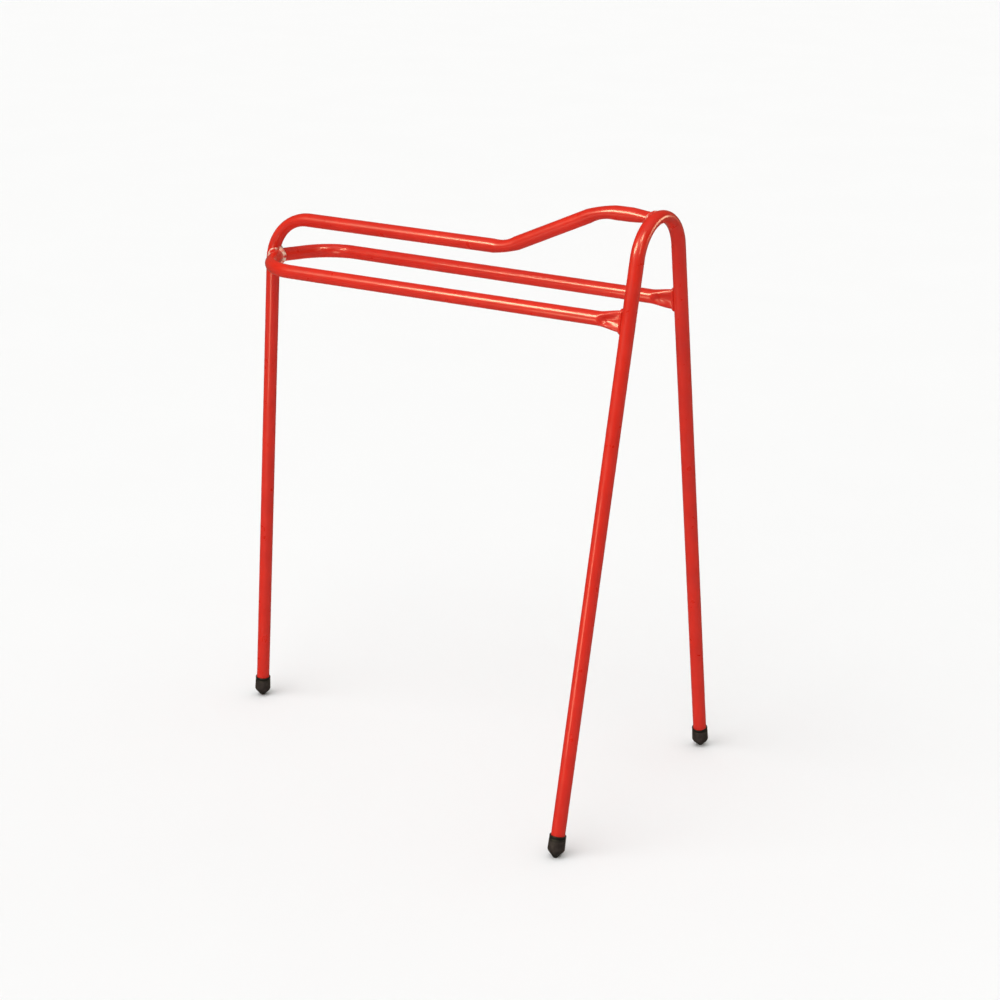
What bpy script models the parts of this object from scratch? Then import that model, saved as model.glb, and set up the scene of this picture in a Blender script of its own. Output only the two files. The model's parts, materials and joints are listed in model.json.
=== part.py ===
"""Saddle rack: a three-legged stand, welded from bent steel tube, on rubber foot tips.

The rear leg and the spine are one bent tube. The two front legs are one hoop. A rail runs along
each side below the spine, from the rear leg to the hoop. The origin is on the floor under the
middle of the stand: +X runs to the hoop, +Y to the left and +Z up. Lengths are in metres.
"""
import math

import bmesh
import bpy
from mathutils import Matrix, Vector, geometry

# Tube stock, and the clearance that touching pieces keep
TUBE_RADIUS = 0.0095
WALL = 0.0015
GAP = 0.0003
SIDES = 24
ARC_STEP = math.radians(8)
SHARP_ANGLE = math.radians(40)

# Front hoop: an inverted U whose legs splay sideways, leaning a little forwards
HOOP_FOOT_X = 0.3165
HOOP_FOOT_Y = 0.2055
HOOP_SPLAY = math.radians(11)
HOOP_LEAN = math.radians(1.57)
HOOP_BEND = 0.0557

# Rear leg and spine: the spine runs level, rises, and runs level again to the hoop's crown
LEG_FOOT_X = -0.3375
LEG_TOP_X = -0.2825
LEG_BEND = 0.069
SPINE_LOW_Z = 0.755
DIP_X = 0.108
RISE_X = 0.2545
DIP_BEND = 0.090
RISE_BEND = 0.100

# Side rails: level, nearly parallel, turned in at the rear to meet at the leg
RAIL_Z = 0.698
RAIL_CORNER_X = -0.2407
RAIL_CORNER_Y = 0.0745
RAIL_BEND = 0.070
NOSE_LEAD = 0.008
PRESS_LENGTH = 0.030
PRESS_STEPS = 8
FLAT_LENGTH = 0.004

# Weld beads, and how a joint's outline is searched for along the surface of a tube
BEAD_RADIUS = 0.0023
BEAD_SIDES = 10
COLLAR = 0.0024
LOOP_POINTS = 32
SEARCH_STEP = 0.0002
SEARCH_LENGTH = 0.080

# Rubber foot tips, with a steel washer under the end of each leg
TIP_HEIGHT = 0.031
TIP_RADIUS = 0.0116
TIP_LIP_RADIUS = 0.0110
TIP_PAD_RADIUS = 0.0040
TIP_CONE = 0.0100
TIP_EDGE = 0.0005
TIP_FLOOR = 0.0105
WASHER_RADIUS = 0.0088
WASHER_HOLE = 0.0040
WASHER_THICKNESS = 0.0015
FOOT_LIFT = TIP_FLOOR + WASHER_THICKNESS + 2 * GAP

# Colours
COAT_RED = (0.62, 0.012, 0.008)
RUBBER_BLACK = (0.012, 0.012, 0.013)
ZINC_GREY = (0.60, 0.60, 0.58)

UP = Vector((0, 0, 1))
SIDE = {"left": 1, "right": -1}


def clear_scene():
    for item in list(bpy.data.objects):
        bpy.data.objects.remove(item, do_unlink=True)


def make_material(name, color, roughness, metallic):
    material = bpy.data.materials.new(name)
    material.use_nodes = True
    shader = material.node_tree.nodes["Principled BSDF"]
    shader.inputs["Base Color"].default_value = (*color, 1)
    shader.inputs["Roughness"].default_value = roughness
    shader.inputs["Metallic"].default_value = metallic
    return material


def add_piece(name, bm, material=None, placement=None):
    """Turn a closed bmesh into an object with outward faces and smooth round sides."""
    bmesh.ops.recalc_face_normals(bm, faces=bm.faces)
    mesh = bpy.data.meshes.new(name)
    bm.to_mesh(mesh)
    bm.free()
    mesh.shade_smooth()
    mesh.set_sharp_from_angle(angle=SHARP_ANGLE)
    piece = bpy.data.objects.new(name, mesh)
    bpy.context.scene.collection.objects.link(piece)
    if placement:
        piece.matrix_world = placement
    if material:
        mesh.materials.append(material)
    return piece


def add_cutter(name, bm):
    cutter = add_piece(name, bm)
    cutter.hide_render = True
    cutter.display_type = "WIRE"
    return cutter


def cut(piece, *cutters):
    for cutter in cutters:
        boolean = piece.modifiers.new("cut_" + cutter.name, "BOOLEAN")
        boolean.operation = "DIFFERENCE"
        boolean.solver = "EXACT"
        boolean.object = cutter


# Centre lines

def arc_at(before, corner, after, radius):
    """Points of the arc that rounds one corner of a line."""
    back = (before - corner).normalized()
    ahead = (after - corner).normalized()
    turn = math.pi - back.angle(ahead)
    centre = corner + (back + ahead).normalized() * (radius / math.cos(turn / 2))
    start = corner + back * (radius * math.tan(turn / 2))
    axis = (-back).cross(ahead).normalized()
    steps = max(2, round(turn / ARC_STEP))
    turns = [Matrix.Rotation(turn * k / steps, 3, axis) for k in range(steps + 1)]
    return [centre + rotation @ (start - centre) for rotation in turns]


def rounded_path(corners, radii):
    points = [corners[0]]
    for k, radius in enumerate(radii, start=1):
        points += arc_at(corners[k - 1], corners[k], corners[k + 1], radius)
    return points + [corners[-1]]


def hoop_peak():
    """Where the two straight legs of the hoop would meet if they went on upwards."""
    height = HOOP_FOOT_Y / math.tan(HOOP_SPLAY)
    return Vector((HOOP_FOOT_X + height * math.tan(HOOP_LEAN), 0, height))


def front_foot(side):
    return Vector((HOOP_FOOT_X, SIDE[side] * HOOP_FOOT_Y, 0))


def front_leg_direction(side):
    return (hoop_peak() - front_foot(side)).normalized()


def front_leg_at(side, height):
    return front_foot(side).lerp(hoop_peak(), height / hoop_peak().z)


def hoop_path(lift):
    ends = [front_foot(side) + front_leg_direction(side) * lift for side in SIDE]
    return rounded_path([ends[0], hoop_peak(), ends[1]], [HOOP_BEND])


def rear_foot():
    return Vector((LEG_FOOT_X, 0, 0))


def rear_leg_direction():
    return (Vector((LEG_TOP_X, 0, SPINE_LOW_Z)) - rear_foot()).normalized()


def crown():
    """The middle of the hoop's bend, which the spine is level with."""
    points = hoop_path(0)
    return points[len(points) // 2]


def spine_path(lift):
    foot = rear_foot() + rear_leg_direction() * lift
    top = Vector((LEG_TOP_X, 0, SPINE_LOW_Z))
    dip = Vector((DIP_X, 0, SPINE_LOW_Z))
    rise = Vector((RISE_X, 0, crown().z))
    return rounded_path([foot, top, dip, rise, crown()], [LEG_BEND, DIP_BEND, RISE_BEND])


def nose_point():
    leg_x = LEG_FOOT_X + (LEG_TOP_X - LEG_FOOT_X) * RAIL_Z / SPINE_LOW_Z
    return Vector((leg_x + NOSE_LEAD, 0, RAIL_Z))


def rail_corner(side):
    return Vector((RAIL_CORNER_X, SIDE[side] * RAIL_CORNER_Y, RAIL_Z))


def nose_direction(side):
    return (nose_point() - rail_corner(side)).normalized()


def rail_path(side):
    """From past the nose to the surface of the front leg, with stations along the pressed end."""
    corner = rail_corner(side)
    nose = nose_point() + nose_direction(side) * TUBE_RADIUS
    end = front_leg_at(side, RAIL_Z) - Vector((TUBE_RADIUS / 2, 0, 0))
    points = rounded_path([nose, corner, end], [RAIL_BEND])
    run = (end - corner).normalized()
    inside = TUBE_RADIUS / 2
    backs = [inside + FLAT_LENGTH + PRESS_LENGTH * k / PRESS_STEPS
             for k in range(PRESS_STEPS, -1, -1)]
    return points[:-1] + [end - run * back for back in backs] + [end]


# Sections and sweeps

def stadium(half_width, half_height, count=SIDES):
    """Points spaced evenly round a flattened circle of the given half sizes."""
    flat = half_height - half_width
    length = 4 * flat + 2 * math.pi * half_width
    points = []
    for k in range(count):
        s = (length * k / count + flat) % length
        sign = 1 if s < length / 2 else -1
        s = s % (length / 2)
        if s < 2 * flat:
            points.append((sign * half_width, sign * (s - flat)))
            continue
        angle = (s - 2 * flat) / half_width
        points.append((sign * half_width * math.cos(angle),
                       sign * (flat + half_width * math.sin(angle))))
    return points


def tangents(path, closed=False):
    count = len(path)
    if closed:
        return [(path[(k + 1) % count] - path[k - 1]).normalized() for k in range(count)]
    spans = [(path[k + 1] - path[k]).normalized() for k in range(count - 1)]
    inner = [(spans[k] + spans[k + 1]).normalized() for k in range(count - 2)]
    return [spans[0]] + inner + [spans[-1]]


def ring(bm, centre, along, normal, section, roll=0.0):
    """One section, its width across the path and its height towards the normal."""
    across = normal.cross(along).normalized()
    upright = along.cross(across)
    turn = Matrix.Rotation(roll, 3, along)
    spots = [centre + turn @ (across * a + upright * b) for a, b in section]
    return [bm.verts.new(spot) for spot in spots]


def bridge(bm, rings, closed=False):
    pairs = list(zip(rings, rings[1:]))
    if closed:
        pairs.append((rings[-1], rings[0]))
    for first, second in pairs:
        count = len(first)
        for k in range(count):
            j = (k + 1) % count
            bm.faces.new((first[k], first[j], second[j], second[k]))


def round_rings(bm, path, normal, radius):
    section = stadium(radius, radius)
    return [ring(bm, p, t, normal, section) for p, t in zip(path, tangents(path))]


def hollow_tube(path, normal):
    """A bent tube, open at both ends."""
    bm = bmesh.new()
    outer = round_rings(bm, path, normal, TUBE_RADIUS)
    inner = round_rings(bm, path, normal, TUBE_RADIUS - WALL)
    bridge(bm, outer + inner[::-1], closed=True)
    return bm


def solid_tube(path, normal, radius):
    bm = bmesh.new()
    rings = round_rings(bm, path, normal, radius)
    bridge(bm, rings)
    bm.faces.new(rings[0])
    bm.faces.new(rings[-1])
    return bm


# Side rails

def press_share(point, side):
    """How far the press has flattened the tube there: 0 where it is round, 1 where it is flat."""
    face_x = front_leg_at(side, RAIL_Z).x - TUBE_RADIUS
    share = (point.x - (face_x - FLAT_LENGTH - PRESS_LENGTH)) / PRESS_LENGTH
    share = min(max(share, 0), 1)
    return share * share * (3 - 2 * share)


def pressed_half_sizes(share):
    """Half width and half height of the pressed tube, whose wall keeps its length."""
    middle = TUBE_RADIUS - WALL / 2
    half_width = middle + (WALL / 2 - middle) * share
    half_height = half_width + math.pi / 2 * (middle - half_width)
    return half_width + WALL / 2, half_height + WALL / 2


def rail_rings(bm, side, inset):
    """Sections of the rail's outside, moved inwards by inset, as far as they stay open."""
    path = rail_path(side)
    rings = []
    for point, along in zip(path, tangents(path)):
        share = press_share(point, side)
        half_width, half_height = pressed_half_sizes(share)
        if half_width - inset < GAP:
            break
        section = stadium(half_width - inset, half_height - inset)
        roll = SIDE[side] * HOOP_SPLAY * share
        rings.append(ring(bm, point, along, UP, section, roll))
    return rings


def make_rail(side, material):
    """A hollow rail: open at the nose, pressed flat and shut at the front leg."""
    bm = bmesh.new()
    outer = rail_rings(bm, side, 0)
    inner = rail_rings(bm, side, WALL)
    bridge(bm, inner[::-1] + outer)
    bm.faces.new(outer[-1])
    bm.faces.new(inner[-1])
    return add_piece(side + "_side_rail", bm, material)


def rail_clearance(side):
    bm = bmesh.new()
    rings = rail_rings(bm, side, -GAP)
    bridge(bm, rings)
    bm.faces.new(rings[0])
    bm.faces.new(rings[-1])
    return add_cutter(side + "_rail_clearance", bm)


def beyond_middle(side):
    """A block over the other half of the nose, so that each half stops at the middle."""
    bm = bmesh.new()
    size = 8 * TUBE_RADIUS
    centre = nose_point() - Vector((0, SIDE[side] * (size / 2 - GAP / 2), 0))
    bmesh.ops.create_cube(bm, size=size, matrix=Matrix.Translation(centre))
    return add_cutter(side + "_nose_stop", bm)


# Weld beads

def distance_to_path(point, path):
    def to_span(start, end):
        nearest, share = geometry.intersect_point_line(point, start, end)
        nearest = start.lerp(end, min(max(share, 0), 1))
        return (point - nearest).length
    return min(to_span(start, end) for start, end in zip(path, path[1:]))


def joint_loop(start, along, blocked):
    """Where lines along a tube's surface first touch what the tube is welded to."""
    across = UP.cross(along).normalized()
    upright = along.cross(across)
    loop = []
    for a, b in stadium(TUBE_RADIUS + GAP, TUBE_RADIUS + GAP, LOOP_POINTS):
        line = [start + across * a + upright * b + along * SEARCH_STEP * k
                for k in range(round(SEARCH_LENGTH / SEARCH_STEP))]
        loop.append(next(spot for spot in line if blocked(spot)))
    return loop


def smoothed(loop):
    count = len(loop)
    return [(loop[k - 1] + loop[k] * 2 + loop[(k + 1) % count]) / 4 for k in range(count)]


def bead(name, loop, middle, material):
    """A closed bead along a loop round a tube, whose axis passes through middle."""
    bm = bmesh.new()
    section = stadium(BEAD_RADIUS, BEAD_RADIUS, BEAD_SIDES)
    rings = []
    for point, along in zip(loop, tangents(loop, closed=True)):
        rings.append(ring(bm, point, along, (point - middle).normalized(), section))
    bridge(bm, rings, closed=True)
    return add_piece(name, bm, material)


def make_crown_weld(material):
    hoop = hoop_path(0)
    forward = Vector((1, 0, 0))
    reach = TUBE_RADIUS + 3 * GAP
    loop = joint_loop(crown() - forward * 3 * TUBE_RADIUS, forward,
                      lambda point: distance_to_path(point, hoop) < reach)
    return bead("crown_weld", smoothed(loop), crown() - forward * TUBE_RADIUS, material)


def make_nose_weld(side, material):
    leg = spine_path(0)[:2]
    reach = TUBE_RADIUS + 3 * GAP
    along = nose_direction(side)

    def blocked(point):
        return point.y * SIDE[side] < GAP or distance_to_path(point, leg) < reach

    start = nose_point() - along * 4 * TUBE_RADIUS
    loop = smoothed(joint_loop(start, along, blocked))
    middle = nose_point() - along * TUBE_RADIUS / 2
    return bead(side + "_nose_weld", loop, middle, material)


def make_rail_end_weld(side, material):
    """A rounded collar where the rail's pressed end meets the front leg.

    Its outline gives, in parts of COLLAR, the distance back from the leg and the height.
    """
    leg = front_leg_at(side, RAIL_Z)
    run = (leg - rail_corner(side)).normalized()
    half_width, half_height = pressed_half_sizes(1)
    profile = [(-0.5, 1.0), (0.35, 1.0), (0.75, 0.85), (1.0, 0.55), (1.15, 0.2)]
    bm = bmesh.new()
    rings = []
    for back, grow in profile:
        centre = leg - run * (TUBE_RADIUS + COLLAR * back)
        section = stadium(half_width + COLLAR * grow, half_height + COLLAR * grow)
        rings.append(ring(bm, centre, run, UP, section, SIDE[side] * HOOP_SPLAY))
    bridge(bm, rings)
    bm.faces.new(rings[0])
    bm.faces.new(rings[-1])
    return add_piece(side + "_rail_end_weld", bm, material)


# Foot tips

def lathe(profile):
    """Turn an outline of (radius, height) points about the Z axis."""
    bm = bmesh.new()
    verts = [bm.verts.new((r, 0, z)) for r, z in profile]
    edges = [bm.edges.new(pair) for pair in zip(verts, verts[1:])]
    bmesh.ops.spin(bm, geom=verts + edges, cent=(0, 0, 0), axis=(0, 0, 1),
                   angle=2 * math.pi, steps=SIDES)
    bmesh.ops.remove_doubles(bm, verts=bm.verts, dist=1e-6)
    return bm


def leg_placement(foot, direction):
    turn = UP.rotation_difference(direction).to_matrix().to_4x4()
    return Matrix.Translation(foot) @ turn


def make_tip(name, foot, direction, material):
    """A rubber tip on the leg's axis: a cone below a sleeve, its pad cut level with the floor.

    The cone starts a little below the floor, so that the cut takes in the whole slanted pad.
    """
    bore = TUBE_RADIUS + GAP
    start = -4 * TIP_EDGE
    start_radius = TIP_PAD_RADIUS + (TIP_RADIUS - TIP_PAD_RADIUS) * start / TIP_CONE
    profile = [(0, start), (start_radius, start),
               (TIP_RADIUS - TIP_EDGE, TIP_CONE - TIP_EDGE),
               (TIP_RADIUS, TIP_CONE + 2 * TIP_EDGE),
               (TIP_LIP_RADIUS, TIP_HEIGHT - TIP_EDGE), (TIP_LIP_RADIUS - TIP_EDGE, TIP_HEIGHT),
               (bore, TIP_HEIGHT), (bore, TIP_FLOOR), (0, TIP_FLOOR)]
    bm = lathe(profile)
    placement = leg_placement(foot, direction)
    to_local = placement.inverted()
    floor_point = to_local @ Vector((foot.x, foot.y, 0))
    geom = bm.verts[:] + bm.edges[:] + bm.faces[:]
    cut_away = bmesh.ops.bisect_plane(bm, geom=geom, plane_co=floor_point,
                                      plane_no=to_local.to_3x3() @ UP, clear_inner=True)
    rim = [item for item in cut_away["geom_cut"] if isinstance(item, bmesh.types.BMEdge)]
    bmesh.ops.contextual_create(bm, geom=rim)
    return add_piece(name, bm, material, placement)


def make_washer(name, foot, direction, material):
    low = TIP_FLOOR + GAP
    high = low + WASHER_THICKNESS
    profile = [(WASHER_HOLE, low), (WASHER_RADIUS, low), (WASHER_RADIUS, high),
               (WASHER_HOLE, high), (WASHER_HOLE, low)]
    return add_piece(name, lathe(profile), material, leg_placement(foot, direction))


# Assembly

def make_frame(coats):
    """The bent tubes, cut where they meet, and the beads that hold them together."""
    plane = (hoop_peak() - front_foot("left")).cross(front_foot("right") - front_foot("left"))
    hoop_solid = add_cutter("hoop_clearance", solid_tube(hoop_path(0), plane.normalized(),
                                                         TUBE_RADIUS + GAP))
    spine_solid = add_cutter("spine_clearance", solid_tube(spine_path(0), Vector((0, 1, 0)),
                                                           TUBE_RADIUS + GAP))
    hoop = add_piece("front_hoop", hollow_tube(hoop_path(FOOT_LIFT), plane.normalized()),
                     coats["front_hoop"])
    spine = add_piece("spine_and_rear_leg", hollow_tube(spine_path(FOOT_LIFT), Vector((0, 1, 0))),
                      coats["spine_and_rear_leg"])
    cut(spine, hoop_solid)
    crown = make_crown_weld(coats["welds"])
    cut(crown, hoop_solid, spine_solid)
    pieces = [hoop, spine, crown]
    for side in SIDE:
        rail_solid = rail_clearance(side)
        stop = beyond_middle(side)
        rail = make_rail(side, coats["side_rails"])
        cut(rail, hoop_solid, spine_solid, stop)
        nose_weld = make_nose_weld(side, coats["welds"])
        cut(nose_weld, rail_solid, spine_solid, stop)
        end_weld = make_rail_end_weld(side, coats["welds"])
        cut(end_weld, rail_solid, hoop_solid)
        pieces += [rail, nose_weld, end_weld]
    return pieces


def make_feet(rubber, steel):
    legs = {"rear": (rear_foot(), rear_leg_direction())}
    for side in SIDE:
        legs[side] = (front_foot(side), front_leg_direction(side))
    pieces = []
    for name, (foot, direction) in legs.items():
        pieces.append(make_tip(name + "_foot_tip", foot, direction, rubber))
        pieces.append(make_washer(name + "_tip_washer", foot, direction, steel))
    return pieces


def main():
    clear_scene()
    coats = {name: make_material(name + "_coat", COAT_RED, roughness=0.22, metallic=0.0)
             for name in ("front_hoop", "spine_and_rear_leg", "side_rails", "welds")}
    rubber = make_material("black_rubber", RUBBER_BLACK, roughness=0.6, metallic=0.0)
    steel = make_material("zinc_steel", ZINC_GREY, roughness=0.35, metallic=1.0)
    rack = bpy.data.objects.new("saddle_rack", None)
    bpy.context.scene.collection.objects.link(rack)
    for piece in make_frame(coats) + make_feet(rubber, steel):
        piece.parent = rack


main()
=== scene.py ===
"""The finished look of the saddle rack: coated tubes, weld beads and rubber tips in a pale studio.

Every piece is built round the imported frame, in metres: +X to the hoop, +Y to the left, +Z up.
"""

import json
import math

import bmesh
import bpy
from mathutils import Matrix, Vector, geometry


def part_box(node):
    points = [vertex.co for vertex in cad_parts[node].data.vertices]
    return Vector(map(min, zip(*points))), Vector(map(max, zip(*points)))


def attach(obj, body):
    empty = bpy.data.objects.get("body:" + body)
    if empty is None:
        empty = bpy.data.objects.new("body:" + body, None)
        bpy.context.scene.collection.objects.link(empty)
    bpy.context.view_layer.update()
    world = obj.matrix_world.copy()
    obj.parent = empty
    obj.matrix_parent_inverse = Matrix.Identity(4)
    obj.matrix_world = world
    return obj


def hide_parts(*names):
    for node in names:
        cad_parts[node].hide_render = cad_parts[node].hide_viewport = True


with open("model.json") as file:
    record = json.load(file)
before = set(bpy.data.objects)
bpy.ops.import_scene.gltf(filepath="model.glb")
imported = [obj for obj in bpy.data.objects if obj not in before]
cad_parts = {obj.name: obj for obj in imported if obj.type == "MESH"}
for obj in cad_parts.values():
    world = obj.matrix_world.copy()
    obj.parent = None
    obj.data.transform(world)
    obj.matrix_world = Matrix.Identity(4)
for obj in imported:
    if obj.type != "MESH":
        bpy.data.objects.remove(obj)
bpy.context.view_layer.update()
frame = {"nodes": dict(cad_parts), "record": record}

ORIGIN = Vector((0, 0, 0))
FORWARD = Vector((1, 0, 0))
LEFT = Vector((0, 1, 0))
UP = Vector((0, 0, 1))
SIDE = {"left": 1, "right": -1}
MOUNTS = {mount["name"]: Vector(mount["pos_m"]) for mount in frame["record"]["mounts"]}
SPINE_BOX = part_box("spine_and_rear_leg")
HOOP_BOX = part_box("front_hoop")
RAIL_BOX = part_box("left_side_rail")

# Tube stock: the radius is read from the frame
TUBE_RADIUS = (SPINE_BOX[1].y - SPINE_BOX[0].y) / 2
WALL = 0.0015
TUBE_SIDES = 56
ARC_STEP = math.radians(2.5)
BEND_FLATTENING = 0.13
SHARP_ANGLE = math.radians(40)

# Front hoop
HOOP_SPLAY = math.radians(11)
HOOP_LEAN = math.radians(1.57)
CROWN_Z = HOOP_BOX[1].z - TUBE_RADIUS

# Rear leg and spine, whose end is lowered a little and squeezed into a neck behind the hoop
LEG_TOP_X = -0.2825
LEG_BEND = 0.066
SPINE_LOW_Z = 0.755
DIP_X = 0.108
RISE_X = 0.2545
DIP_BEND = 0.090
RISE_BEND = 0.100
SPINE_DROP = 0.0012
NECK_LENGTH = 0.034
NECK_SQUEEZE = 0.25
NECK_ANCHOR = 0.4 * TUBE_RADIUS
NECK_STATIONS = 16

# Side rails, whose front ends are pressed to a web between two rounded ridges
RAIL_Z = (RAIL_BOX[0].z + RAIL_BOX[1].z) / 2
RAIL_CORNER_X = -0.2407
RAIL_CORNER_Y = 0.0745
RAIL_BEND = 0.070
NOSE_LEAD = 0.008
RAIL_EMBED = 0.0008
PRESS_LENGTH = 0.030
PRESS_STATIONS = 28
PRESS_STRETCH = 0.0008
FLAT_LENGTH = 0.004
RIDGE_HALF_WIDTH = 0.0030
WEB_HALF_WIDTH = 0.0016
WEB_SPREAD = 0.68
WEB_ONSET = 2.4
WEB_ROUNDING = 1.5

# Weld beads, and how a joint's outline is searched for along the surface of a tube
BEAD_RADIUS = 0.0022
BEAD_SIDES = 18
BEAD_STEP = 0.0004
BEAD_WANDER = 0.00015
BEAD_WAVES = 9
NOSE_BEAD_RADIUS = 0.0031
NOSE_BEAD_LIFT = 0.0010
NOSE_GAP = 0.0004
CROWN_BEAD_RADIUS = 0.0042
CROWN_BEAD_INSET = 0.0018
END_BEAD_BACK = 0.30 * BEAD_RADIUS
END_BEAD_SPREAD = 0.45 * BEAD_RADIUS
END_BEAD_RISE = 0.27 * BEAD_RADIUS
END_LOOP_POINTS = 96
RIPPLE_PITCH = 0.0021
RIPPLE_HEIGHT = 0.00016
RIPPLE_BOW = 0.22
RIPPLE_ROUNDING = 0.7
LOOP_POINTS = 48
SEARCH_STEP = 0.0002
SEARCH_LENGTH = 0.080
CONTACT = TUBE_RADIUS + 0.0008
SMOOTHING_PASSES = 3

# Rubber tips, in profile: a cone on a small pad, a shoulder, a sleeve, a groove and a lip.
# Each leans with its leg, which lifts one side of its lip.
LIP_RISE = 0.0006
TIP_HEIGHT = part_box("rear_foot_tip")[1].z - LIP_RISE
TIP_RADIUS = 0.0116
TIP_LIP_RADIUS = 0.0110
TIP_PAD_RADIUS = 0.0028
TIP_CONE = 0.0100
CONE_HEIGHTS = (-0.0015, 0.0045, 0.0085)
SHOULDER_Z = TIP_CONE - 0.0004
SHOULDER_ROUND = 0.0007
SHOULDER_RISE = 0.0012
SLEEVE_TAPER = 0.0003
GROOVE_Z = TIP_HEIGHT - 0.0046
SLEEVE_TOP = GROOVE_Z - 0.0020
GROOVE_OUTLINE = ((0.0001, -0.0003), (-0.0002, 0), (0.0002, 0.0004))
LIP_WIDTH = 0.0009
LIP_HEIGHT = 0.0012
TIP_BORE = TUBE_RADIUS + 0.00005
BORE_CHAMFER = 0.0002
TIP_FLOOR = 0.0105
TIP_SIDES = 96
SEAM_HEIGHT = 0.00014
WASHER_ROOM = 0.002
FOOT_LIFT = TIP_FLOOR + WASHER_ROOM

# Colours
COAT_DEEP = (0.68, 0.0125, 0.0030)
COAT_BRIGHT = (0.75, 0.0165, 0.0042)
COAT_RUBBED = (0.80, 0.16, 0.12)
# Pale colour painted on the nose and crown beads as their highlight
PAINTED_WELD_HIGHLIGHT = (0.90, 0.74, 0.58)
RUBBER_BLACK = (0.0230, 0.0160, 0.0140)
RUBBER_BLOOM = (0.0480, 0.0350, 0.0300)
# Near-black painted on the tips as shade round the lip and on the cone
RUBBER_PAINTED_SHADE = (0.0040, 0.0034, 0.0032)
DUST = (0.055, 0.050, 0.044)
ZINC_LIGHT = (0.66, 0.66, 0.64)
ZINC_DARK = (0.50, 0.51, 0.52)
FLOOR_DARK = (0.875, 0.883, 0.900)
FLOOR_LIGHT = (0.890, 0.898, 0.915)
SOFTBOX_COLOR = (1.0, 0.88, 0.56)
WORLD_COLOR = (1.0, 0.92, 0.70)

# Where the materials change, and how strong their marks are
STREAK_STRETCH = 0.09
MARK_STRENGTH = 0.30
# Length over which the weld beads' painted highlight fades out behind the nose
WELD_HIGHLIGHT_FADE = 0.05
DUST_HEIGHT = 0.0055
# Heights of the tips' painted shade, on the cone and round the lip
DARK_CONE_Z = 0.6 * TIP_CONE
DARK_LIP_START = TIP_HEIGHT - 0.0075
DARK_LIP_FULL = TIP_HEIGHT - 0.0045

# Camera and stage
CAMERA_AZIMUTH = math.radians(32.66)
CAMERA_ELEVATION = math.radians(18.95)
CAMERA_DISTANCE = 3.0154
CAMERA_TARGET = Vector((0.0986, 0, 0.3979))
CAMERA_LENS = 78.35
CLIP_START = 0.05
CLIP_END = 100
FLOOR_RADIUS = 15
FLOOR_DROP = 0.0002
WALL_BEND = 5
WALL_HEIGHT = 9
WALL_STEPS = 15
STAGE_SIDES = 96
LIGHT_TARGET = Vector((0, 0, 0.6))


# Centre lines: lists of (point, share of a bend), where a share of 0 is a straight

def arc_at(before, corner, after, radius):
    """The arc that rounds one corner. Its share of a bend is 0 at both ends and 1 in the middle."""
    back = (before - corner).normalized()
    ahead = (after - corner).normalized()
    turn = math.pi - back.angle(ahead)
    centre = corner + (back + ahead).normalized() * (radius / math.cos(turn / 2))
    start = corner + back * (radius * math.tan(turn / 2))
    axis = (-back).cross(ahead).normalized()
    steps = max(4, 2 * round(turn / ARC_STEP / 2))
    arc = []
    for k in range(steps + 1):
        turned = Matrix.Rotation(turn * k / steps, 3, axis) @ (start - centre)
        arc.append((centre + turned, 4 * k / steps * (1 - k / steps)))
    return arc


def rounded_path(corners, radii):
    points = [(corners[0], 0)]
    for k, radius in enumerate(radii, start=1):
        points += arc_at(corners[k - 1], corners[k], corners[k + 1], radius)
    return points + [(corners[-1], 0)]


def front_foot(side):
    return MOUNTS[side + "_foot_pad"]


def hoop_peak():
    """Where the two straight legs of the hoop would meet if they went on upwards."""
    foot = front_foot("left")
    height = foot.y / math.tan(HOOP_SPLAY)
    return Vector((foot.x + height * math.tan(HOOP_LEAN), 0, height))


def front_leg_direction(side):
    return (hoop_peak() - front_foot(side)).normalized()


def front_leg_at(side, height):
    return front_foot(side).lerp(hoop_peak(), height / hoop_peak().z)


def hoop_path(lift=0.0):
    """The hoop from foot to foot, with the bend that brings its crown to the frame's height."""
    peak = hoop_peak()
    splay = (peak - front_foot("left")).angle(peak - front_foot("right")) / 2
    slant = peak.z / math.cos(HOOP_LEAN)
    bend = (slant - CROWN_Z / math.cos(HOOP_LEAN)) / (1 / math.sin(splay) - 1)
    ends = [front_foot(side) + front_leg_direction(side) * lift for side in SIDE]
    return rounded_path([ends[0], peak, ends[1]], [bend])


def crown():
    path = hoop_path()
    return path[len(path) // 2][0]


def rear_leg_top():
    return Vector((LEG_TOP_X, 0, SPINE_LOW_Z))


def rear_leg_direction():
    return (rear_leg_top() - MOUNTS["rear_foot_pad"]).normalized()


def spine_path(lift=0.0):
    """From the rear foot to the hoop's crown, with stations along the neck."""
    foot = MOUNTS["rear_foot_pad"] + rear_leg_direction() * lift
    dip = Vector((DIP_X, 0, SPINE_LOW_Z))
    end = crown() - UP * SPINE_DROP
    rise = Vector((RISE_X, 0, end.z))
    corners = [foot, rear_leg_top(), dip, rise, end]
    path = rounded_path(corners, [LEG_BEND, DIP_BEND, RISE_BEND])
    back = (path[-2][0] - end).normalized() * (NECK_LENGTH + TUBE_RADIUS)
    stations = [(end + back * k / NECK_STATIONS, 0) for k in range(NECK_STATIONS, 0, -1)]
    return path[:-1] + stations + [path[-1]]


def nose_point():
    """Where the rails' centre lines meet, a little in front of the rear leg's."""
    leg = MOUNTS["rear_foot_pad"].lerp(rear_leg_top(), RAIL_Z / SPINE_LOW_Z)
    return leg + FORWARD * NOSE_LEAD


def rail_corner(side):
    return Vector((RAIL_CORNER_X, SIDE[side] * RAIL_CORNER_Y, RAIL_Z))


def nose_direction(side):
    return (nose_point() - rail_corner(side)).normalized()


def rail_run(side):
    return (front_leg_at(side, RAIL_Z) - rail_corner(side)).normalized()


def rail_end(side):
    return front_leg_at(side, RAIL_Z) - rail_run(side) * (TUBE_RADIUS - RAIL_EMBED)


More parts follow.
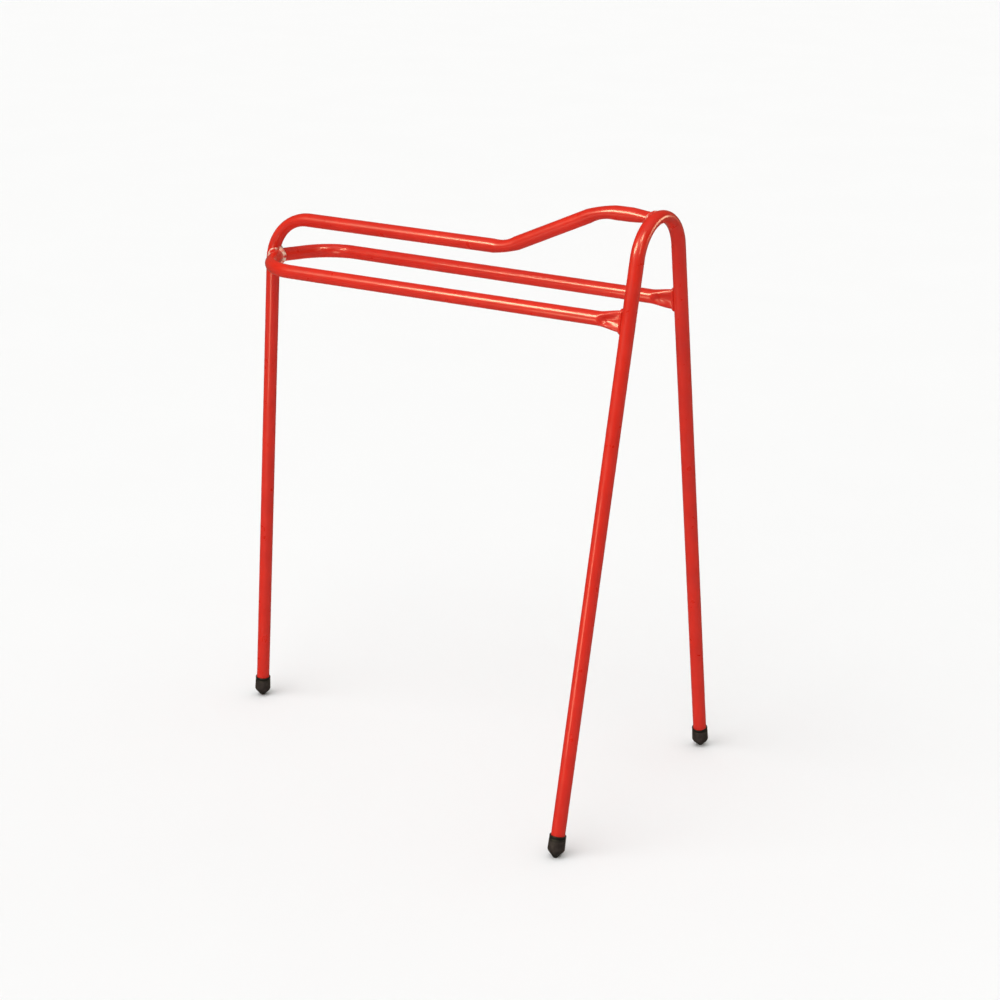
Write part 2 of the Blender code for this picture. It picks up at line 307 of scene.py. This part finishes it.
def rail_path(side):
    """From past the nose to inside the front leg's wall, with stations along the pressed end."""
    nose = nose_point() + nose_direction(side) * TUBE_RADIUS
    end = rail_end(side)
    points = rounded_path([nose, rail_corner(side), end], [RAIL_BEND])
    backs = [FLAT_LENGTH + PRESS_LENGTH * k / PRESS_STATIONS
             for k in range(PRESS_STATIONS, -1, -1)]
    return points[:-1] + [(end - rail_run(side) * back, 0) for back in backs] + [(end, 0)]


# Mesh building

def tangents(points, closed=False):
    count = len(points)
    if closed:
        return [(points[(k + 1) % count] - points[k - 1]).normalized() for k in range(count)]
    spans = [(points[k + 1] - points[k]).normalized() for k in range(count - 1)]
    inner = [(spans[k] + spans[k + 1]).normalized() for k in range(count - 2)]
    return [spans[0]] + inner + [spans[-1]]


def stadium(half_width, half_height, count):
    """Points spaced evenly round a flattened circle of the given half sizes."""
    flat = half_height - half_width
    length = 4 * flat + 2 * math.pi * half_width
    points = []
    for k in range(count):
        s = (length * k / count + flat) % length
        sign = 1 if s < length / 2 else -1
        s = s % (length / 2)
        if s < 2 * flat:
            points.append((sign * half_width, sign * (s - flat)))
            continue
        angle = (s - 2 * flat) / half_width
        points.append((sign * half_width * math.cos(angle),
                       sign * (flat + half_width * math.sin(angle))))
    return points


def ring(bm, centre, along, normal, section, roll=0.0):
    """One section, its width across the path and its height towards the normal."""
    across = normal.cross(along).normalized()
    upright = along.cross(across)
    turn = Matrix.Rotation(roll, 3, along)
    spots = [centre + turn @ (across * a + upright * b) for a, b in section]
    return [bm.verts.new(spot) for spot in spots]


def bridge(bm, rings, closed=False):
    """Faces between neighbouring rings, and back to the first one if the shape is closed."""
    pairs = list(zip(rings, rings[1:]))
    if closed:
        pairs.append((rings[-1], rings[0]))
    for first, second in pairs:
        count = len(first)
        for k in range(count):
            j = (k + 1) % count
            bm.faces.new((first[k], first[j], second[j], second[k]))


def bridge_open(bm, columns):
    """Faces between neighbouring columns of a turned shape, all the way round."""
    count = len(columns)
    for k in range(count):
        first, second = columns[k], columns[(k + 1) % count]
        for j in range(len(first) - 1):
            bm.faces.new((first[j], second[j], second[j + 1], first[j + 1]))


def add_piece(name, bm, material, node, sharp_angle=SHARP_ANGLE):
    """A finished piece that rides on the root body and stands for one CAD node."""
    bmesh.ops.recalc_face_normals(bm, faces=bm.faces)
    mesh = bpy.data.meshes.new(name)
    bm.to_mesh(mesh)
    bm.free()
    mesh.shade_smooth()
    mesh.set_sharp_from_angle(angle=sharp_angle)
    mesh.materials.append(material)
    piece = bpy.data.objects.new(name, mesh)
    bpy.context.scene.collection.objects.link(piece)
    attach(piece, "root")
    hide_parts(node)


def cut_level(bm, point, normal):
    """Remove what lies behind a plane, and close the mesh along it."""
    geom = bm.verts[:] + bm.edges[:] + bm.faces[:]
    cut = bmesh.ops.bisect_plane(bm, geom=geom, plane_co=point, plane_no=normal,
                                 clear_inner=True)
    rim = [item for item in cut["geom_cut"] if isinstance(item, bmesh.types.BMEdge)]
    bmesh.ops.contextual_create(bm, geom=rim)


# Tubes

def bent_section(share):
    """A tube's section: a bend flattens it, and it spreads by a quarter as much."""
    squeeze = BEND_FLATTENING * share
    section = stadium(TUBE_RADIUS, TUBE_RADIUS, TUBE_SIDES)
    return [(a * (1 - squeeze), b * (1 + squeeze / 4)) for a, b in section]


def eased(share):
    """Keep a share between 0 and 1, and soften both of its ends."""
    share = min(max(share, 0), 1)
    return share * share * (3 - 2 * share)


def necked(point, spot):
    """Squeeze the spine's end, mostly from above, and let it spread a little sideways."""
    share = eased(1 - (crown().x - TUBE_RADIUS - point.x) / NECK_LENGTH)
    anchor = point.z - NECK_ANCHOR
    return Vector((spot.x, spot.y * (1 + NECK_SQUEEZE / 3 * share),
                   anchor + (spot.z - anchor) * (1 - NECK_SQUEEZE * share)))


def capped_tube(bm, rings):
    bridge(bm, rings)
    bm.faces.new(rings[0])
    bm.faces.new(rings[-1])


def bent_rings(bm, path, normal):
    points = [point for point, share in path]
    return [ring(bm, point, along, normal, bent_section(share))
            for (point, share), along in zip(path, tangents(points))]


def add_hoop(material):
    across = front_foot("right") - front_foot("left")
    plane = (hoop_peak() - front_foot("left")).cross(across).normalized()
    bm = bmesh.new()
    capped_tube(bm, bent_rings(bm, hoop_path(FOOT_LIFT), plane))
    add_piece("hoop_tube", bm, material, "front_hoop")


def add_spine(material):
    path = spine_path(FOOT_LIFT)
    bm = bmesh.new()
    rings = bent_rings(bm, path, LEFT)
    for (point, share), verts in zip(path, rings):
        for vert in verts:
            vert.co = necked(point, vert.co)
    capped_tube(bm, rings)
    add_piece("spine_tube", bm, material, "spine_and_rear_leg")


def press_share(point, side):
    """How far the press has flattened the tube there: 0 where it is round, 1 where it is flat."""
    back = (rail_end(side) - point).dot(rail_run(side))
    share = 1 - (back - FLAT_LENGTH) / PRESS_LENGTH
    share = min(max(share, 0), 1)
    return (share + eased(share)) / 2


def pressed_half_sizes(share):
    """Half width and half height of the pressed tube, whose wall only stretches a little."""
    middle = TUBE_RADIUS - WALL / 2
    half_width = middle + (RIDGE_HALF_WIDTH - WALL / 2 - middle) * share
    half_height = half_width + math.pi / 2 * (middle - half_width) + PRESS_STRETCH * share
    return half_width + WALL / 2, half_height + WALL / 2


def pressed_section(share):
    """The flattened section: a web pressed in between two rounded ridges, above and below."""
    half_width, half_height = pressed_half_sizes(share)
    depth = (half_width - WEB_HALF_WIDTH) * eased(WEB_ONSET * share)
    section = []
    for a, b in stadium(half_width, half_height, TUBE_SIDES):
        inside = max(0, 1 - (b / (WEB_SPREAD * half_height)) ** 2)
        pull = depth * inside ** WEB_ROUNDING
        section.append((a - math.copysign(pull, a), b))
    return section


def add_side_rail(side, material):
    path = rail_path(side)
    points = [point for point, share in path]
    bm = bmesh.new()
    rings = []
    for (point, bend), along in zip(path, tangents(points)):
        share = press_share(point, side)
        section = pressed_section(share) if share > 0 else bent_section(bend)
        rings.append(ring(bm, point, along, UP, section, SIDE[side] * HOOP_SPLAY * share))
    capped_tube(bm, rings)
    cut_level(bm, ORIGIN, LEFT * SIDE[side])
    add_piece(side + "_rail_tube", bm, material, side + "_side_rail")


# Weld beads

def distance_to_line(point, start, end):
    share = geometry.intersect_point_line(point, start, end)[1]
    return (point - start.lerp(end, min(max(share, 0), 1))).length


def distance_to_path(point, points):
    return min(distance_to_line(point, a, b) for a, b in zip(points, points[1:]))


def joint_loop(start, along, blocked):
    """Where lines along a tube's surface first touch what the tube is welded to."""
    across = UP.cross(along).normalized()
    upright = along.cross(across)
    loop = []
    for a, b in stadium(TUBE_RADIUS, TUBE_RADIUS, LOOP_POINTS):
        line = [start + across * a + upright * b + along * SEARCH_STEP * k
                for k in range(round(SEARCH_LENGTH / SEARCH_STEP))]
        loop.append(next(spot for spot in line if blocked(spot)))
    return loop


def smoothed(loop):
    count = len(loop)
    for _ in range(SMOOTHING_PASSES):
        loop = [(loop[k - 1] + loop[k] * 2 + loop[(k + 1) % count]) / 4 for k in range(count)]
    return loop


def evenly_spaced(loop):
    """The same closed loop, with its points a bead's step apart."""
    closed = loop + [loop[0]]
    spans = [(b - a).length for a, b in zip(closed, closed[1:])]
    count = round(sum(spans) / BEAD_STEP)
    spots = []
    span, reached = 0, 0.0
    for k in range(count):
        target = sum(spans) * k / count
        while reached + spans[span] < target:
            reached += spans[span]
            span += 1
        spots.append(closed[span].lerp(closed[span + 1], (target - reached) / spans[span]))
    return spots


def rippled_section(bead_radius, travelled):
    """A bead's section where the puddle's ripples bow back along the bead."""
    section = []
    for k in range(BEAD_SIDES):
        angle = math.tau * k / BEAD_SIDES
        phase = travelled / RIPPLE_PITCH + RIPPLE_BOW * math.cos(2 * angle)
        crest = 1 - abs(math.sin(math.pi * phase)) ** RIPPLE_ROUNDING
        radius = bead_radius - RIPPLE_HEIGHT * crest
        section.append((radius * math.cos(angle), radius * math.sin(angle)))
    return section


def add_bead(name, loop, middle, bead_radius, material, node):
    """A rippled bead along a closed loop round a tube, whose axis passes through middle."""
    loop = evenly_spaced(loop)
    bm = bmesh.new()
    rings = []
    for k, (point, along) in enumerate(zip(loop, tangents(loop, closed=True))):
        outwards = (point - middle).normalized()
        wander = BEAD_WANDER * math.sin(BEAD_WAVES * math.tau * k / len(loop))
        spot = point + outwards * wander
        section = rippled_section(bead_radius, k * BEAD_STEP)
        rings.append(ring(bm, spot, along, outwards, section))
    bridge(bm, rings, closed=True)
    add_piece(name, bm, material, node, sharp_angle=math.pi)


def add_crown_weld(material):
    """A bead round the squeezed end of the spine, along the back of the hoop."""
    hoop = [point for point, share in hoop_path()]
    loop = joint_loop(crown() - FORWARD * 3 * TUBE_RADIUS, FORWARD,
                      lambda point: distance_to_path(point, hoop) < CONTACT)
    drop = UP * SPINE_DROP
    neck = crown() - FORWARD * TUBE_RADIUS - drop
    loop = [necked(neck, point - drop) for point in smoothed(loop)]
    loop = [point - ((point - neck).normalized() + FORWARD) * CROWN_BEAD_INSET for point in loop]
    add_bead("crown_bead", loop, neck, CROWN_BEAD_RADIUS, material, "crown_weld")


def add_nose_weld(side, material):
    """A bead round the rail's rear end, along the rear leg and the middle plane."""
    leg = (MOUNTS["rear_foot_pad"], rear_leg_top())
    along = nose_direction(side)

    def blocked(point):
        return point.y * SIDE[side] < NOSE_GAP or distance_to_line(point, *leg) < CONTACT

    loop = smoothed(joint_loop(nose_point() - along * 4 * TUBE_RADIUS, along, blocked))
    middle = nose_point() - along * TUBE_RADIUS / 2
    loop = [point + (point - middle).normalized() * NOSE_BEAD_LIFT for point in loop]
    add_bead(side + "_nose_bead", loop, middle, NOSE_BEAD_RADIUS, material, side + "_nose_weld")


def add_rail_end_weld(side, material):
    """A bead round the pressed end of the rail, along the front leg."""
    run = rail_run(side)
    centre = front_leg_at(side, RAIL_Z) - run * (TUBE_RADIUS + END_BEAD_BACK)
    across = UP.cross(run).normalized()
    turn = Matrix.Rotation(SIDE[side] * HOOP_SPLAY, 3, run)
    half_width, half_height = pressed_half_sizes(1)
    outline = stadium(half_width + END_BEAD_SPREAD, half_height + END_BEAD_RISE, END_LOOP_POINTS)
    loop = [centre + turn @ (across * a + run.cross(across) * b) for a, b in outline]
    add_bead(side + "_rail_end_bead", loop, centre, BEAD_RADIUS, material,
             side + "_rail_end_weld")


# Rubber tips

def tip_profile():
    """Radius and height from below the pad, up the outside, over the lip and down the bore."""
    slope = (TIP_RADIUS - TIP_PAD_RADIUS) / TIP_CONE
    cone = [(TIP_PAD_RADIUS + slope * z, z) for z in CONE_HEIGHTS]
    shoulder = [(TIP_RADIUS - SHOULDER_ROUND * (1 - math.sin(t)), SHOULDER_Z + SHOULDER_RISE * t)
                for t in (0.3, 0.7, 1.1, math.pi / 2)]
    sleeve = [(TIP_RADIUS - SLEEVE_TAPER, SLEEVE_TOP)]
    groove = [(TIP_LIP_RADIUS + out, GROOVE_Z + up) for out, up in GROOVE_OUTLINE]
    lip = [(TIP_LIP_RADIUS + LIP_WIDTH * (math.cos(t) - 2 / 3),
            TIP_HEIGHT + LIP_HEIGHT * (math.sin(t) - 1))
           for t in (-0.6, 0, 0.5, 1.0, math.pi / 2)]
    bore = [(TIP_BORE + BORE_CHAMFER, TIP_HEIGHT - BORE_CHAMFER / 2),
            (TIP_BORE, TIP_HEIGHT - BORE_CHAMFER * 3), (TIP_BORE, TIP_FLOOR)]
    return cone + shoulder + sleeve + groove + lip + bore


def add_tip(name, foot, direction, material):
    """A turned rubber tip with a fine mould seam down each side, its pad level with the floor."""
    turn = UP.rotation_difference(direction).to_matrix()
    bm = bmesh.new()
    columns = []
    for k in range(TIP_SIDES):
        angle = math.tau * k / TIP_SIDES
        seam = SEAM_HEIGHT if k % (TIP_SIDES // 2) == 0 else 0
        column = []
        for r, z in tip_profile():
            raised = r + (seam if r > CONTACT else 0)
            spot = Vector((raised * math.cos(angle), raised * math.sin(angle), z))
            column.append(bm.verts.new(foot + turn @ spot))
        columns.append(column)
    bridge_open(bm, columns)
    bm.faces.new([column[0] for column in columns])
    bm.faces.new([column[-1] for column in columns])
    cut_level(bm, ORIGIN, UP)
    add_piece(name + "_foot_rubber", bm, material, name + "_foot_tip")


# Materials. The Mix node's colour sockets share their names with others, so they go by number.

MIX_FIRST = 6
MIX_SECOND = 7
MIX_RESULT = 2


def new_material(name):
    material = bpy.data.materials.new(name)
    material.use_nodes = True
    nodes = material.node_tree.nodes
    return material, nodes, material.node_tree.links, nodes["Principled BSDF"]


def place(nodes, links, shift):
    """Object coordinates in metres, shifted so that no two materials share a pattern."""
    coordinates = nodes.new("ShaderNodeTexCoord")
    mapping = nodes.new("ShaderNodeMapping")
    mapping.inputs["Location"].default_value = (shift, -shift, shift / 2)
    links.new(coordinates.outputs["Object"], mapping.inputs["Vector"])
    return mapping.outputs["Vector"]


def noise(nodes, links, vector, scale, detail=3.0, roughness=0.5):
    node = nodes.new("ShaderNodeTexNoise")
    node.inputs["Scale"].default_value = scale
    node.inputs["Detail"].default_value = detail
    node.inputs["Roughness"].default_value = roughness
    links.new(vector, node.inputs["Vector"])
    return node.outputs["Fac"]


def spread(nodes, links, value, low, high, start=0.0, end=1.0):
    """Map a value between start and end to the range from low to high."""
    node = nodes.new("ShaderNodeMapRange")
    node.inputs["From Min"].default_value = start
    node.inputs["From Max"].default_value = end
    node.inputs["To Min"].default_value = low
    node.inputs["To Max"].default_value = high
    links.new(value, node.inputs["Value"])
    return node.outputs["Result"]


def blend_colors(nodes, links, share, first, second):
    node = nodes.new("ShaderNodeMix")
    node.data_type = "RGBA"
    links.new(share, node.inputs["Factor"])
    for index, color in ((MIX_FIRST, first), (MIX_SECOND, second)):
        if isinstance(color, tuple):
            node.inputs[index].default_value = (*color, 1)
        else:
            links.new(color, node.inputs[index])
    return node.outputs[MIX_RESULT]


def add_bump(nodes, links, shader, height, distance, strength, socket="Normal"):
    bump = nodes.new("ShaderNodeBump")
    bump.inputs["Distance"].default_value = distance
    bump.inputs["Strength"].default_value = strength
    links.new(height, bump.inputs["Height"])
    links.new(bump.outputs["Normal"], shader.inputs[socket])


def upward_share(nodes, links, low, high):
    """1 where a surface faces up, 0 where it faces sideways or down."""
    geometry_node = nodes.new("ShaderNodeNewGeometry")
    split = nodes.new("ShaderNodeSeparateXYZ")
    links.new(geometry_node.outputs["Normal"], split.inputs["Vector"])
    return spread(nodes, links, split.outputs["Z"], 0, 1, low, high)


def combine(nodes, links, operation, first, second):
    """One math node, whose second value is a number or comes from another node."""
    node = nodes.new("ShaderNodeMath")
    node.operation = operation
    links.new(first, node.inputs[0])
    if isinstance(second, float):
        node.inputs[1].default_value = second
    else:
        links.new(second, node.inputs[1])
    return node.outputs["Value"]


def object_axis(nodes, links, axis):
    """A piece's own X, Y or Z in metres, which is also the frame's."""
    coordinates = nodes.new("ShaderNodeTexCoord")
    split = nodes.new("ShaderNodeSeparateXYZ")
    links.new(coordinates.outputs["Object"], split.inputs["Vector"])
    return split.outputs[axis]


def rubbed_marks(nodes, links, spot, wear):
    """Fine streaks along X, in patches, where the coating's top has been rubbed."""
    stretched = nodes.new("ShaderNodeMapping")
    stretched.inputs["Scale"].default_value = (STREAK_STRETCH, 1.0, 1.0)
    links.new(spot, stretched.inputs["Vector"])
    streaks = noise(nodes, links, stretched.outputs["Vector"], 1500, detail=2, roughness=0.6)
    rubbed = spread(nodes, links, streaks, 0, 1, start=0.66, end=0.76)
    patches = noise(nodes, links, spot, 34, detail=2)
    patches = spread(nodes, links, patches, 0, 1, start=0.52, end=0.66)
    marks = combine(nodes, links, "MULTIPLY", rubbed, patches)
    upward = upward_share(nodes, links, 0.35, 0.85)
    marks = combine(nodes, links, "MULTIPLY", marks, upward)
    return combine(nodes, links, "MULTIPLY", marks, MARK_STRENGTH * wear)


def coated_steel(name, shift, wear=1.0):
    """Glossy red coating: slight orange peel, faint cloudiness, rubbed marks on top surfaces."""
    material, nodes, links, shader = new_material(name)
    spot = place(nodes, links, shift)
    cloud = noise(nodes, links, spot, 22, detail=4)
    cloud = spread(nodes, links, cloud, 0, 1, start=0.35, end=0.65)
    color = blend_colors(nodes, links, cloud, COAT_DEEP, COAT_BRIGHT)
    marks = rubbed_marks(nodes, links, spot, wear)
    color = blend_colors(nodes, links, marks, color, COAT_RUBBED)
    links.new(color, shader.inputs["Base Color"])
    gloss = noise(nodes, links, spot, 60, detail=5, roughness=0.6)
    gloss = spread(nodes, links, gloss, 0.26, 0.38, start=0.3, end=0.7)
    links.new(gloss, shader.inputs["Roughness"])
    shader.inputs["IOR"].default_value = 1.46
    shader.inputs["Coat Weight"].default_value = 0.45
    shader.inputs["Coat Roughness"].default_value = 0.07
    peel = noise(nodes, links, spot, 620, detail=2, roughness=0.45)
    add_bump(nodes, links, shader, peel, distance=0.00010, strength=0.22)
    add_bump(nodes, links, shader, peel, distance=0.00006, strength=0.14, socket="Coat Normal")
    return material


def weld_coat(name, shift):
    """The same coating, with a painted highlight: pale patches over the beads of the nose and the
    crown.
    """
    material = coated_steel(name, shift, wear=0.0)
    nodes, links = material.node_tree.nodes, material.node_tree.links
    shader = nodes["Principled BSDF"]
    # Painted highlight: pale patches, strongest on the nose beads and half as strong on the crown
    # bead
    nose = spread(nodes, links, object_axis(nodes, links, "X"), 0.85, 0,
                  start=RAIL_CORNER_X, end=RAIL_CORNER_X + WELD_HIGHLIGHT_FADE)
    top = spread(nodes, links, object_axis(nodes, links, "Z"), 0, 0.50,
                 start=SPINE_LOW_Z, end=CROWN_Z - TUBE_RADIUS)
    both = combine(nodes, links, "MAXIMUM", nose, top)
    coordinates = nodes.new("ShaderNodeTexCoord")
    patches = noise(nodes, links, coordinates.outputs["Object"], 130)
    patches = spread(nodes, links, patches, 0, 1, start=0.42, end=0.56)
    painted_highlight = combine(nodes, links, "MULTIPLY", both, patches)
    red = shader.inputs["Base Color"].links[0].from_socket
    color = blend_colors(nodes, links, painted_highlight, red, PAINTED_WELD_HIGHLIGHT)
    links.new(color, shader.inputs["Base Color"])
    return material


def moulded_rubber(name, shift):
    """Matt black rubber: fine grain, a soft bloom, dust at the floor, and painted shade round the
    lip and on the cone.
    """
    material, nodes, links, shader = new_material(name)
    spot = place(nodes, links, shift)
    height = object_axis(nodes, links, "Z")
    bloom = noise(nodes, links, spot, 160, detail=4)
    bloom = spread(nodes, links, bloom, 0, 1, start=0.35, end=0.7)
    color = blend_colors(nodes, links, bloom, RUBBER_BLACK, RUBBER_BLOOM)
    low = spread(nodes, links, height, 1, 0, start=0.0, end=DUST_HEIGHT)
    specks = noise(nodes, links, spot, 900, detail=4)
    specks = spread(nodes, links, specks, 0, 0.35, start=0.35, end=0.75)
    dust = combine(nodes, links, "MULTIPLY", low, specks)
    color = blend_colors(nodes, links, dust, color, DUST)
    # Painted shade: darker round the groove and lip, and on the lower cone
    lip = spread(nodes, links, height, 0, 0.85, start=DARK_LIP_START, end=DARK_LIP_FULL)
    cone = spread(nodes, links, height, 0.6, 0, start=DARK_CONE_Z, end=TIP_CONE)
    painted_shade = combine(nodes, links, "MAXIMUM", lip, cone)
    color = blend_colors(nodes, links, painted_shade, color, RUBBER_PAINTED_SHADE)
    links.new(color, shader.inputs["Base Color"])
    sheen = noise(nodes, links, spot, 240)
    sheen = spread(nodes, links, sheen, 0.40, 0.56, start=0.3, end=0.7)
    links.new(sheen, shader.inputs["Roughness"])
    shader.inputs["Specular IOR Level"].default_value = 0.35
    grain = noise(nodes, links, spot, 2600, roughness=0.6)
    add_bump(nodes, links, shader, grain, distance=0.00010, strength=0.35)
    return material


def zinc_plate(name, shift):
    """Zinc-plated pressed steel, with faint spangle and uneven sheen."""
    material, nodes, links, shader = new_material(name)
    spot = place(nodes, links, shift)
    spangle = nodes.new("ShaderNodeTexVoronoi")
    spangle.inputs["Scale"].default_value = 700
    links.new(spot, spangle.inputs["Vector"])
    share = spread(nodes, links, spangle.outputs["Distance"], 0, 1, start=0.0, end=0.8)
    color = blend_colors(nodes, links, share, ZINC_LIGHT, ZINC_DARK)
    links.new(color, shader.inputs["Base Color"])
    shader.inputs["Metallic"].default_value = 1.0
    sheen = spread(nodes, links, noise(nodes, links, spot, 1200), 0.25, 0.45)
    links.new(sheen, shader.inputs["Roughness"])
    return material


# Stage, light and camera

def floor_material():
    material, nodes, links, shader = new_material("pale_floor")
    spot = place(nodes, links, 0)
    tone = noise(nodes, links, spot, 3, detail=2)
    color = blend_colors(nodes, links, tone, FLOOR_DARK, FLOOR_LIGHT)
    links.new(color, shader.inputs["Base Color"])
    shader.inputs["Roughness"].default_value = 0.8
    shader.inputs["Specular IOR Level"].default_value = 0.0
    return material


def add_stage_mesh(name, bm, material):
    """A piece of the stage, kept out of the reflections as black cards would do."""
    mesh = bpy.data.meshes.new(name)
    bm.to_mesh(mesh)
    bm.free()
    mesh.shade_smooth()
    mesh.materials.append(material)
    item = bpy.data.objects.new(name, mesh)
    bpy.context.scene.collection.objects.link(item)
    item.visible_glossy = False
    return item


def add_floor(material):
    bm = bmesh.new()
    bmesh.ops.create_circle(bm, cap_ends=True, radius=FLOOR_RADIUS, segments=STAGE_SIDES)
    floor = add_stage_mesh("floor", bm, material)
    floor.location.z = -FLOOR_DROP


def add_backdrop(material):
    """A wall all round, curving up from the floor's edge."""
    curve = []
    for k in range(WALL_STEPS + 1):
        angle = math.pi / 2 * k / WALL_STEPS
        curve.append((WALL_BEND * math.sin(angle), WALL_BEND * (1 - math.cos(angle))))
    bm = bmesh.new()
    rings = []
    for out, height in curve + [(WALL_BEND, WALL_HEIGHT)]:
        section = stadium(FLOOR_RADIUS + out, FLOOR_RADIUS + out, STAGE_SIDES)
        rings.append([bm.verts.new((x, y, height)) for x, y in section])
    bridge(bm, rings)
    backdrop = add_stage_mesh("backdrop", bm, material)
    backdrop.visible_shadow = False
    backdrop.visible_diffuse = False


def aim(item, place_at, target):
    item.location = place_at
    item.rotation_mode = "QUATERNION"
    item.rotation_quaternion = (target - place_at).to_track_quat("-Z", "Y")


def add_softbox(name, place_at, size, power):
    """A warm softbox that only shows as a highlight, aimed at the rack's upper half."""
    light = bpy.data.lights.new(name, "AREA")
    light.shape = "RECTANGLE"
    light.size, light.size_y = size
    light.energy = power
    light.color = SOFTBOX_COLOR
    item = bpy.data.objects.new(name, light)
    item.visible_diffuse = False
    item.visible_camera = False
    bpy.context.scene.collection.objects.link(item)
    aim(item, Vector(place_at), LIGHT_TARGET)


def add_sky_light(name, place_at, strength, width):
    """A wide, soft sun that lights the coats but leaves no highlight."""
    light = bpy.data.lights.new(name, "SUN")
    light.energy = strength
    light.angle = math.radians(width)
    item = bpy.data.objects.new(name, light)
    item.visible_glossy = False
    bpy.context.scene.collection.objects.link(item)
    aim(item, Vector(place_at), ORIGIN)


def set_world(strength):
    """A weak, warm world, which fills the shadows."""
    world = bpy.data.worlds.new("studio")
    world.use_nodes = True
    background = world.node_tree.nodes["Background"]
    background.inputs["Color"].default_value = (*WORLD_COLOR, 1)
    background.inputs["Strength"].default_value = strength
    bpy.context.scene.world = world


def add_camera():
    camera = bpy.data.cameras.new("camera")
    camera.lens = CAMERA_LENS
    camera.clip_start = CLIP_START
    camera.clip_end = CLIP_END
    item = bpy.data.objects.new("camera", camera)
    bpy.context.scene.collection.objects.link(item)
    level = math.cos(CAMERA_ELEVATION)
    back = Vector((math.sin(CAMERA_AZIMUTH) * level, -math.cos(CAMERA_AZIMUTH) * level,
                   math.sin(CAMERA_ELEVATION)))
    aim(item, CAMERA_TARGET + back * CAMERA_DISTANCE, CAMERA_TARGET)
    bpy.context.scene.camera = item


# Assembly

def build_frame():
    """The four tubes and their five welds, each with its own coat or sharing one."""
    add_hoop(coated_steel("front_hoop_coat", shift=0.0))
    add_spine(coated_steel("spine_and_rear_leg_coat", shift=1.7))
    rail_coat = coated_steel("side_rails_coat", shift=3.1)
    bead_coat = weld_coat("welds_coat", shift=4.3)
    add_crown_weld(bead_coat)
    for side in SIDE:
        add_side_rail(side, rail_coat)
        add_nose_weld(side, bead_coat)
        add_rail_end_weld(side, bead_coat)


def build_feet():
    """The three tips, and a finished material for the frame's own washers inside them."""
    rubber = moulded_rubber("black_rubber", shift=0.9)
    steel = zinc_plate("zinc_steel", shift=0.3)
    add_tip("rear", MOUNTS["rear_foot_pad"], rear_leg_direction(), rubber)
    for side in SIDE:
        add_tip(side, front_foot(side), front_leg_direction(side), rubber)
    for name in ("rear", "left", "right"):
        frame["nodes"][name + "_tip_washer"].material_slots[0].material = steel


def build_stage():
    pale = floor_material()
    add_floor(pale)
    add_backdrop(pale)
    set_world(strength=0.13)
    add_sky_light("front_sky", (-0.6, -2.2, 2.0), strength=1.9, width=70)
    add_sky_light("top_sky", (0.2, 0.1, 2.0), strength=1.8, width=90)
    add_softbox("key_box", (-1.10, -2.10, 2.35), size=(1.1, 1.1), power=80)
    add_softbox("top_box", (0.95, -1.30, 2.9), size=(0.7, 0.7), power=30)
    add_softbox("side_box", (2.4, -1.9, 2.2), size=(0.6, 1.2), power=14)
    add_softbox("back_box", (1.75, 1.60, 1.05), size=(1.2, 0.7), power=18)
    add_softbox("low_box", (-0.15, -1.35, 0.28), size=(0.45, 0.5), power=3)
    bpy.context.scene.view_settings.view_transform = "Standard"
    add_camera()


build_frame()
build_feet()
build_stage()
